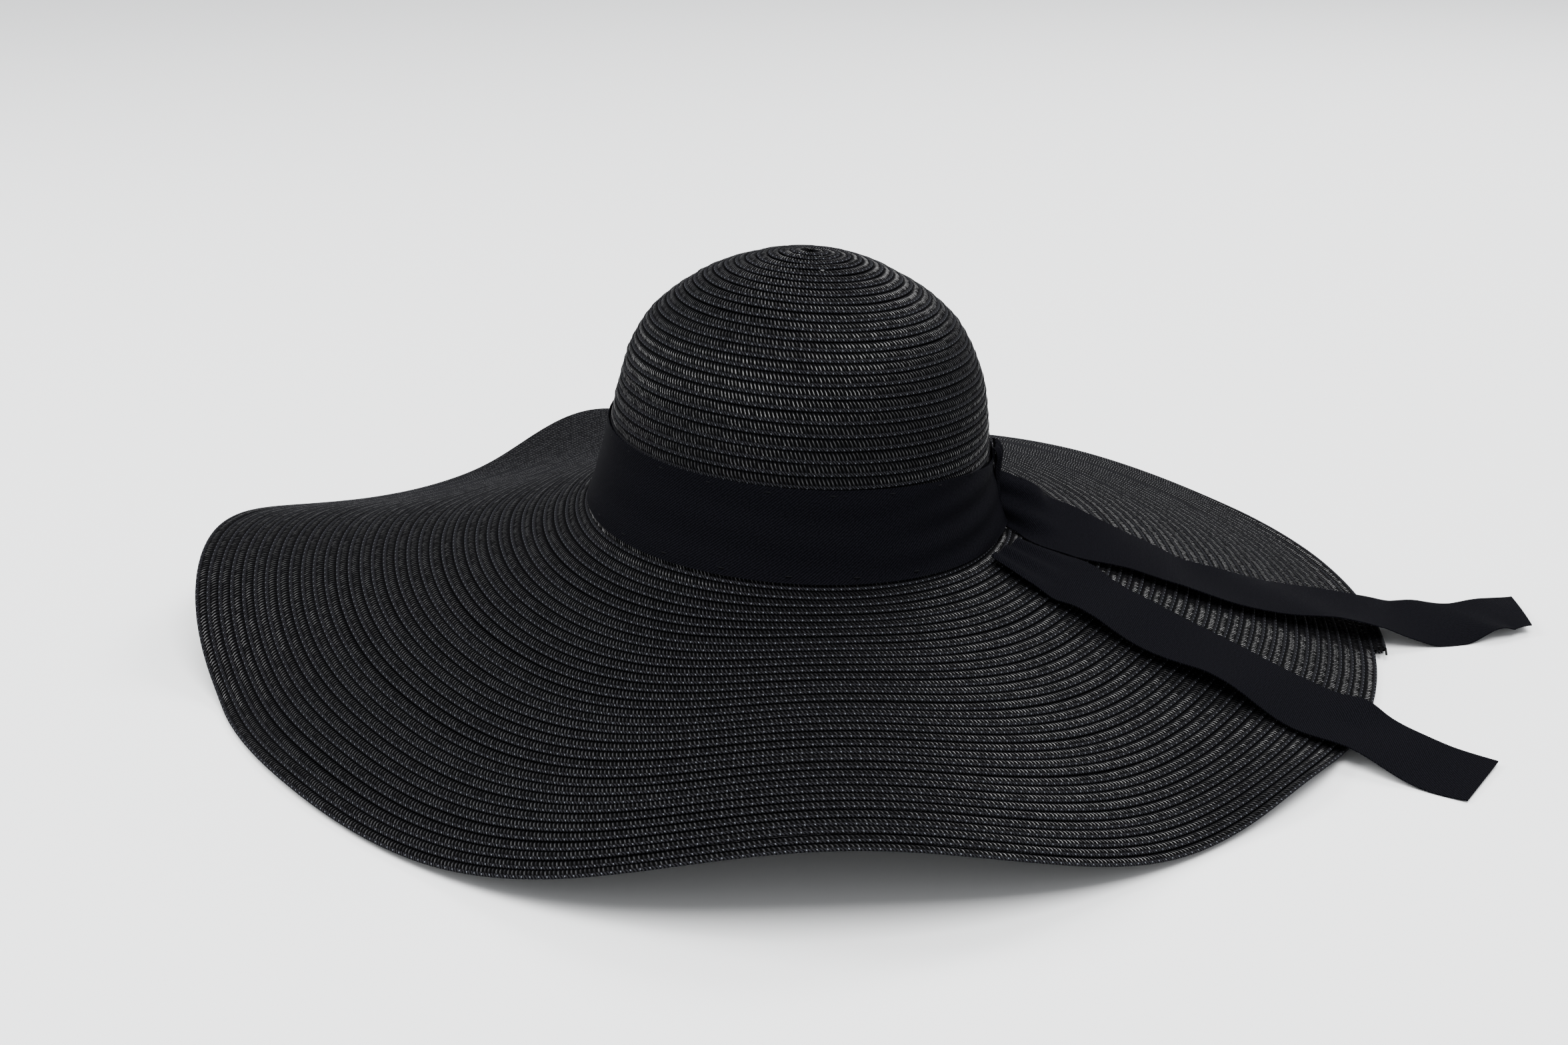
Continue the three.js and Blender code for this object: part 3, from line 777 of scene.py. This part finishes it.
class HAT_OT_braid_end(bpy.types.Operator):
    """Makes the braid's cut end, lapped over the edge, with its frayed strands"""
    bl_idname = "hat.braid_end"
    bl_label = "Braid end"

    def execute(self, context):
        settings = context.scene.hat_straw
        material = material_for("straw", straw_material, settings)
        piece = braid_piece("braid_end_lap_fine", LAST_ROW - 8 / 360, LAST_ROW,
                            settings.strand_length / MM, lift=lambda share: 1.1 + 0.4 * share)
        finish_piece(piece, "hat", material, "straw_braid", "braid_end_lap")
        edge_radius = 255.0
        for k in range(7):
            across = np.linspace(-0.45, 0.45, 3)[None]
            run = np.linspace(0, 1, 12)[:, None]
            length = 5 + 3 * math.sin(2.3 * k)
            arc = LAST_ROW * ROW_PITCH - 5.2 + 0.8 * k + across + 0.9 * math.sin(k) * run
            turn = END_TURN + 0.4 - np.degrees(run * length / edge_radius) + 0 * across
            out = 0.9 + 0.6 * math.sin(1.9 * k + 1) * run**2 + 0 * across
            surface, _ = HAT.at(arc, turn, out)
            strand = cloth(f"frayed_strand_{k + 1}", surface, run * length, across, 0.25)
            finish_piece(strand, "hat", material, "straw_braid")
        return {"FINISHED"}


def band_droop(turn):
    """How far the knot pulls the ribbon's upper edge down, in millimetres."""
    return 6.5 * bell(turn, 352, 30)


class HAT_OT_ribbon_band(bpy.types.Operator):
    """Makes the ribbon round the crown, with its slight wrinkles"""
    bl_idname = "hat.ribbon_band"
    bl_label = "Ribbon band"

    def execute(self, context):
        settings = context.scene.hat_ribbon
        material = material_for("ribbon", ribbon_material, settings)
        arcs = np.linspace(BAND_TOP + 0.2, HAT.crown_arc - 1.2, 44)

        def out(arc, turn):
            """Just off the straw, with long shallow wrinkles that run nearly level."""
            share = (arc - BAND_TOP) / RIBBON_WIDTH
            level = np.sin(2 * np.pi * (2.2 * share + 0.25 * np.sin(np.radians(turn * 2)))) * 0.18
            folds = bell(turn, 322, 26) * np.sin(2 * np.pi * (3.1 * share + turn / 75)) * 0.45
            edge = 0.35 * np.exp(-share * 9)
            flare = 2.6 * bell(turn, 350, 13) * share**3
            return 0.85 + level + folds + edge + flare + 0.2 * wander(
                np.radians(turn) * 2, share * 5, 2)

        piece = wrapped("ribbon_band_fine", arcs, np.arange(0, 360, 0.75), out,
                        settings.thickness / MM, ring=True, droop=band_droop)
        finish_piece(piece, "hat", material, "ribbon", "ribbon_band")
        return {"FINISHED"}


class HAT_OT_knot(bpy.types.Operator):
    """Makes the folded loop of ribbon that holds the band's two ends"""
    bl_idname = "hat.knot"
    bl_label = "Ribbon knot"

    def execute(self, context):
        settings = context.scene.hat_ribbon
        material = material_for("ribbon", ribbon_material, settings)
        path = spline([(35, 1.6), (28, 2.2), (20, 2.6), (12, 3.6), (7, 4.8), (3.6, 4.4), (2.4, 3.0),
                       (4.5, 1.9), (12, 1.7), (20, 1.6)], np.linspace(0, 9, 90))
        across = np.linspace(-1, 1, 31)
        pinch = 8.5 - 4.5 * smooth_step(path[:, :1], 5, 22)
        pleat = 0.6 * np.cos(3 * np.pi * across)[None] - 1.2 * (across**2)[None]
        arc = BAND_TOP + path[:, :1] + 0 * across[None]
        turn = -6 + np.degrees(pinch * across[None] / 88)
        front = smooth_step(path[:, 1:], 1.6, 3.5)
        surface, _ = HAT.at(arc, turn, path[:, 1:] + front * pleat)
        length = np.linspace(0, 56, len(path))[:, None]
        piece = cloth("ribbon_knot_fine", surface, length, 9.5 * across[None],
                      settings.thickness / MM)
        finish_piece(piece, "hat", material, "ribbon", "ribbon_knot")
        return {"FINISHED"}


def tail_piece(name, route, ripple, root_lean, slant, settings):
    """One free end of the ribbon: a strip along its route, rolled about its run and gathered into
    pleats at the knot, with ripples farther out, lifted clear of the brim and the table."""
    steps = 20 * (len(route) - 1)
    sections = spline(route, np.linspace(0, len(route) - 1, steps))
    centre, roll, width = sections[:, :3], np.radians(sections[:, 3]), sections[:, 4]
    run = np.gradient(centre, axis=0)
    travelled = np.concatenate([[0], np.cumsum(np.linalg.norm(np.diff(centre, axis=0), axis=1))])
    level = np.stack([-run[:, 1], run[:, 0], 0 * run[:, 0]], -1)
    level = level / np.linalg.norm(level, axis=1, keepdims=True)
    side = level * np.cos(roll)[:, None] + np.array([0, 0, 1]) * np.sin(roll)[:, None]
    across = np.linspace(-1, 1, 33)
    surface = centre[:, None] + side[:, None] * (across[None, :, None] * width[:, None, None] / 2)
    s, v = travelled[:, None], across[None]
    gathered = 1 - smooth_step(s, 6, 34)
    forward = run / np.linalg.norm(run, axis=1, keepdims=True)
    face = np.cross(forward, side)
    surface -= (gathered * v * root_lean)[..., None] * forward[:, None]
    surface += (gathered * 1.1 * np.cos(2.6 * np.pi * v + 0.4))[..., None] * face[:, None]
    cut = smooth_step(s, travelled[-1] - 35, travelled[-1]) * v * slant
    surface += cut[..., None] * forward[:, None]
    surface[..., 2] += ripple(s, v) * smooth_step(s, 8, 45)
    floor = HAT.height_over(surface[..., 0], surface[..., 1]) + 0.75
    surface[..., 2] = soft_max(surface[..., 2], floor, 0.8)
    material = material_for("ribbon", ribbon_material, settings)
    piece = cloth(name, surface, s, RIBBON_WIDTH / 2 * v, settings.thickness / MM)
    piece.data.materials.append(material)
    cad = name.replace("_fine", "")
    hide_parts(cad, f"{cad}_root")
    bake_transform(piece)
    return piece


class HAT_OT_tails(bpy.types.Operator):
    """Makes the ribbon's two loose ends, which lie over the brim and past its edge"""
    bl_idname = "hat.tails"
    bl_label = "Ribbon ends"

    def execute(self, context):
        settings = context.scene.hat_ribbon

        def rear_ripple(s, v):
            """Long waves along the run that lift one edge, then the other."""
            curl = 2.6 * bell_run(s, 205, 14) * v + 2.2 * bell_run(s, 228, 10) * (1 - v)
            return 1.4 * np.sin(s / 15) * v + 0.8 * np.cos(s / 10.5) * (1 - v * v) + curl

        def front_ripple(s, v):
            """Shorter waves, mostly in the edge nearer the front."""
            curl = 3.4 * bell_run(s, 158, 9) * np.clip(v, 0, 1) + 2.4 * bell_run(s, 30, 9) * v
            return 1.8 * np.sin(s / 10) * (v - 0.6) / 1.6 + 0.7 * np.cos(s / 14) + curl

        tail_piece("ribbon_tail_rear_fine", REAR_TAIL, rear_ripple, 2.6, 10,
                   settings)
        tail_piece("ribbon_tail_front_fine", FRONT_TAIL, front_ripple, 0, 0,
                   settings)
        return {"FINISHED"}


class HAT_OT_sweatband(bpy.types.Operator):
    """Makes the sweatband inside the crown, and the tab over its join"""
    bl_idname = "hat.sweatband"
    bl_label = "Sweatband"

    def execute(self, context):
        settings = context.scene.hat_lining
        material = material_for("sweatband", woven_material, "cotton_grosgrain_sweatband",
                                settings.sweatband_colour, 1.2, 0.88)

        def out(arc, turn):
            """Against the straw's inner face at the hem, standing in a little at its free edge."""
            free = 1 - (arc - SWEAT_TOP) / SWEATBAND_HEIGHT
            return -2.9 - 0.5 * free**2 * (1 + 0.8 * np.sin(np.radians(turn) * 7))

        arcs = np.linspace(SWEAT_TOP, SWEAT_FOOT, 24)
        piece = wrapped("sweatband_fine", arcs, np.arange(0, 360, 1.5), out, 0.7, ring=True)
        finish_piece(piece, "hat", material, "sweatband_cloth", "sweatband")
        tab_arcs = np.linspace(SWEAT_TOP + 1, HAT.crown_arc - 7, 16)
        tab = wrapped("sweatband_join_tab_fine", tab_arcs, np.linspace(84, 96, 14), -4.1, 0.6)
        finish_piece(tab, "hat", material, "sweatband_cloth", "sweatband_join_tab")
        return {"FINISHED"}


def stitch_ring(node, arc, out, pitch, length, turns, material):
    """A row of stitches in one mesh, in place of a CAD node: each is a short rounded bar that dips
    at both ends, and they follow each other round the crown at one pitch."""
    starts = np.arange(turns[0], turns[1], np.degrees(pitch / BAND_RADIUS))
    pieces = []
    sides = np.linspace(0, 2 * np.pi, 6, endpoint=False)
    for k, start in enumerate(starts):
        share = np.linspace(0, 1, 5)[:, None]
        thick = 0.32 * np.sin(np.pi * (0.12 + 0.76 * share))
        turn = start + np.degrees(share * length / BAND_RADIUS) + 0 * sides[None]
        rise = out + 0.25 * np.sin(np.pi * share) + thick * np.sin(sides)[None]
        points, _ = HAT.at(arc + thick * np.cos(sides)[None], turn, rise)
        uv = np.stack([share * length + 0 * sides[None], 0 * turn], -1)
        pieces.append(solid(f"{node}_{k}", points, uv))
    bpy.ops.object.select_all(action="DESELECT")
    for piece in pieces:
        piece.select_set(True)
    bpy.context.view_layer.objects.active = pieces[0]
    bpy.ops.object.join()
    joined = bpy.context.view_layer.objects.active
    joined.name = f"{node}_fine"
    return finish_piece(joined, "hat", material, "sewing_thread", node)


class HAT_OT_stitches(bpy.types.Operator):
    """Makes the rows of stitches that hold the ribbon, the sweatband and the care label"""
    bl_idname = "hat.stitches"
    bl_label = "Stitches"

    def execute(self, context):
        settings = context.scene.hat_lining
        material = material_for("thread", woven_material, "black_polyester_thread",
                                settings.thread_colour, 0.5, 0.9)
        rows = [
            ("ribbon_upper_thread", BAND_TOP + 2.5, 1.25, 24, 2.6, (8, 340)),
            ("ribbon_lower_thread", HAT.crown_arc - 4.2, 1.15, 24, 2.6, (14, 310)),
            ("sweatband_hem_thread", HAT.crown_arc - 4.5, -3.6, 7, 4.5, (0, 358)),
            ("care_label_seam", SWEAT_TOP + 2.5, -4.6, 3.2, 2.2, (67, 78)),
        ]
        for node, arc, out, pitch, length, turns in rows:
            stitch_ring(node, arc, out, pitch, length, turns, material)
        return {"FINISHED"}


class HAT_OT_labels(bpy.types.Operator):
    """Makes the blank size label and the blank care label, which hangs free"""
    bl_idname = "hat.labels"
    bl_label = "Labels"

    def execute(self, context):
        settings = context.scene.hat_lining
        material = material_for("label", woven_material, "white_satin_label_tape",
                                settings.label_colour, 0.6, 0.45)
        arcs = np.linspace(SWEAT_TOP + 8, HAT.crown_arc - 10, 12)
        size_label = wrapped("size_label_fine", arcs, np.linspace(102, 114, 14), -4.0, 0.35)
        finish_piece(size_label, "hat", material, "label_satin", "size_label")
        joint = hinge_of("care_label")
        top = np.array(joint["pos_m"]) / MM - SHIFT
        axis = np.array(joint["axis"])
        inward = np.cross(axis, [0, 0, -1.0])
        down = np.linspace(0, 39.5, 24)[:, None, None]
        across = np.linspace(-11, 11, 14)[None, :, None]
        curl = 0.9 * np.sin(down / 39.5 * np.pi) + 0.5 * (across / 11) ** 2
        surface = top + across * axis - down * np.array([0, 0, 1.0]) + curl * inward
        care = cloth("care_label_fine", surface, down[..., 0], across[..., 0], 0.3)
        finish_piece(care, "care_label", material, "label_satin", "care_label")
        return {"FINISHED"}


class HAT_PT_panel(bpy.types.Panel):
    """Lists the steps that make the hat"""
    bl_label = "Straw Sun Hat"
    bl_idname = "HAT_PT_panel"
    bl_space_type = "VIEW_3D"
    bl_region_type = "UI"
    bl_category = "Sun Hat"

    def draw(self, context):
        for name in ("hat_stage", "hat_straw", "hat_ribbon", "hat_lining"):
            settings = getattr(context.scene, name)
            box = self.layout.box()
            for key in settings.bl_rna.properties.keys():
                if key not in ("rna_type", "name"):
                    box.prop(settings, key)
        for operator in OPERATORS:
            self.layout.operator(operator.bl_idname)


OPERATORS = [
    HAT_OT_stage, HAT_OT_crown, HAT_OT_brim, HAT_OT_braid_end, HAT_OT_ribbon_band, HAT_OT_knot,
    HAT_OT_tails, HAT_OT_sweatband, HAT_OT_stitches, HAT_OT_labels,
]
SETTINGS = {
    "hat_straw": HatStrawSettings, "hat_ribbon": HatRibbonSettings, "hat_lining": HatLiningSettings,
    "hat_stage": HatStageSettings,
}


def register():
    for name, group in SETTINGS.items():
        bpy.utils.register_class(group)
        setattr(bpy.types.Scene, name, bpy.props.PointerProperty(type=group))
    for each in [*OPERATORS, HAT_PT_panel]:
        bpy.utils.register_class(each)


def unregister():
    for each in [HAT_PT_panel, *reversed(OPERATORS)]:
        bpy.utils.unregister_class(each)
    for name, group in SETTINGS.items():
        delattr(bpy.types.Scene, name)
        bpy.utils.unregister_class(group)


def main():
    register()
    bpy.ops.hat.stage()
    bpy.ops.hat.crown()
    bpy.ops.hat.brim()
    bpy.ops.hat.braid_end()
    bpy.ops.hat.ribbon_band()
    bpy.ops.hat.knot()
    bpy.ops.hat.tails()
    bpy.ops.hat.sweatband()
    bpy.ops.hat.stitches()
    bpy.ops.hat.labels()


if __name__ == "__main__":
    main()
